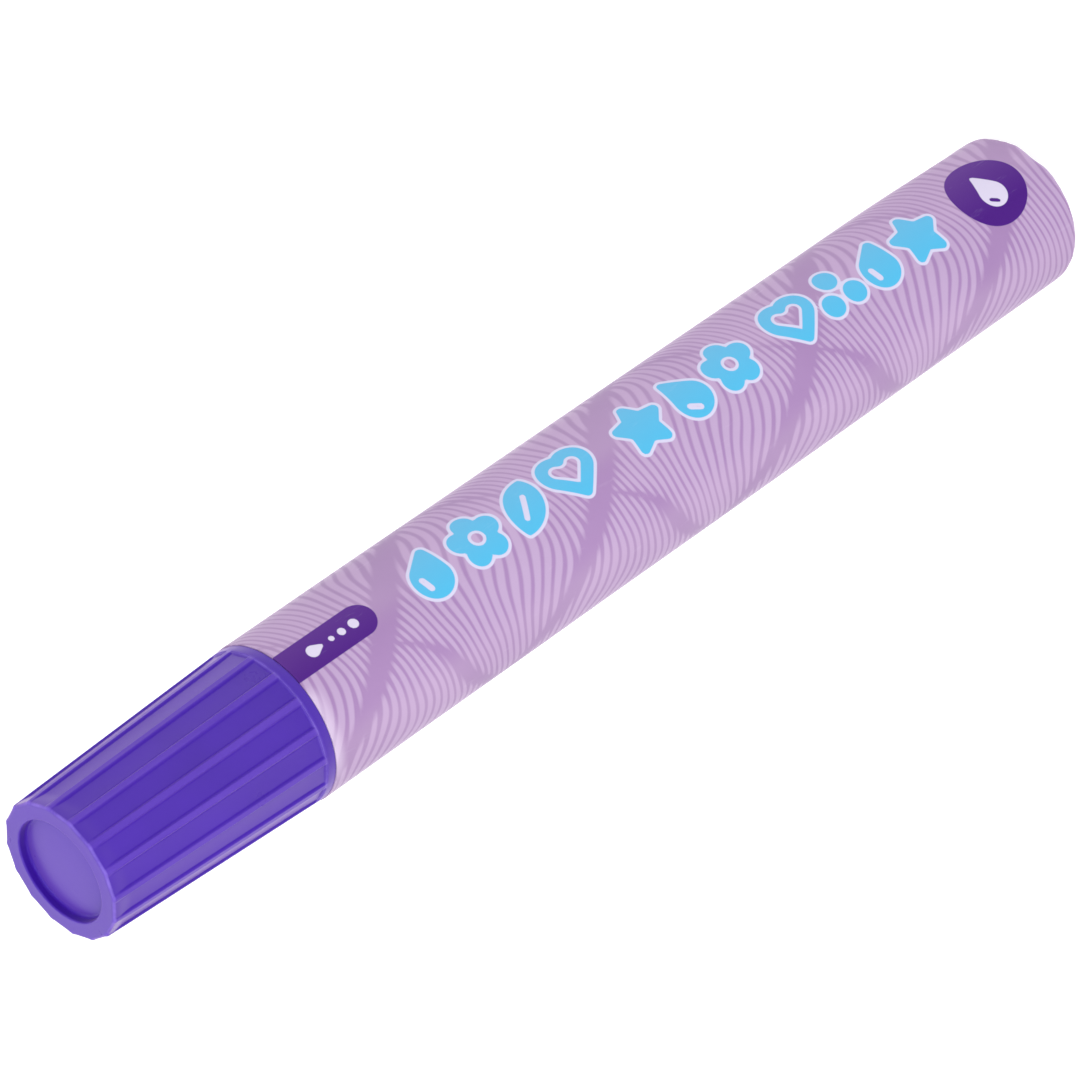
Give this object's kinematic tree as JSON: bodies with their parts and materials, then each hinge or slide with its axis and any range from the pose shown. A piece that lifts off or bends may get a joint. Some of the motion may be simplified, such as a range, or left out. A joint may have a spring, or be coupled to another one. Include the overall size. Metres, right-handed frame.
{
  "type": "glue tube",
  "caption": "Slim round squeeze bottle of liquid craft glue in printed film, with a slit rubber applicator tip under a ribbed, tapered screw cap.",
  "frame": {"origin": "centre of the flat ring on the base that the bottle stands on", "axes": "+Z along the bottle's axis from the base to the closed end of the cap; the front of the print faces -Y"},
  "size_m": [0.023, 0.023, 0.1823],
  "materials": {
    "bottle": "satin blow-moulded, milky white",
    "print": "semi-gloss printed shrink film, lilac",
    "glue": "wet, cloudy",
    "plug": "satin, natural white",
    "collar": "satin, white",
    "tip_rubber": "soft matt rubber, pale violet",
    "cap": "glossy moulded, violet",
    "liner": "soft foam"
  },
  "bodies": {
    "bottle": {"bottle": "bottle", "label_sleeve": "print", "glue_fill": "glue", "flow_plug": "plug", "tip_collar": "collar", "rubber_tip": "tip_rubber"},
    "liner": {"cap_liner": "liner"},
    "cap": {"cap_shell": "cap"}
  },
  "joints": [
    {"name": "cap_lift", "type": "slide", "parent": "bottle", "child": "liner", "axis": [0, 0, 1], "range_m": [0, 0.036]},
    {"name": "cap_turn", "type": "hinge", "parent": "liner", "child": "cap", "pos_m": [0, 0, 0.1456], "axis": [0, 0, 1], "range_deg": [0, 1080]}
  ],
  "couplings": [
    {"joint": "cap_turn", "follows": "cap_lift", "rad_per_m": 523.6}
  ]
}
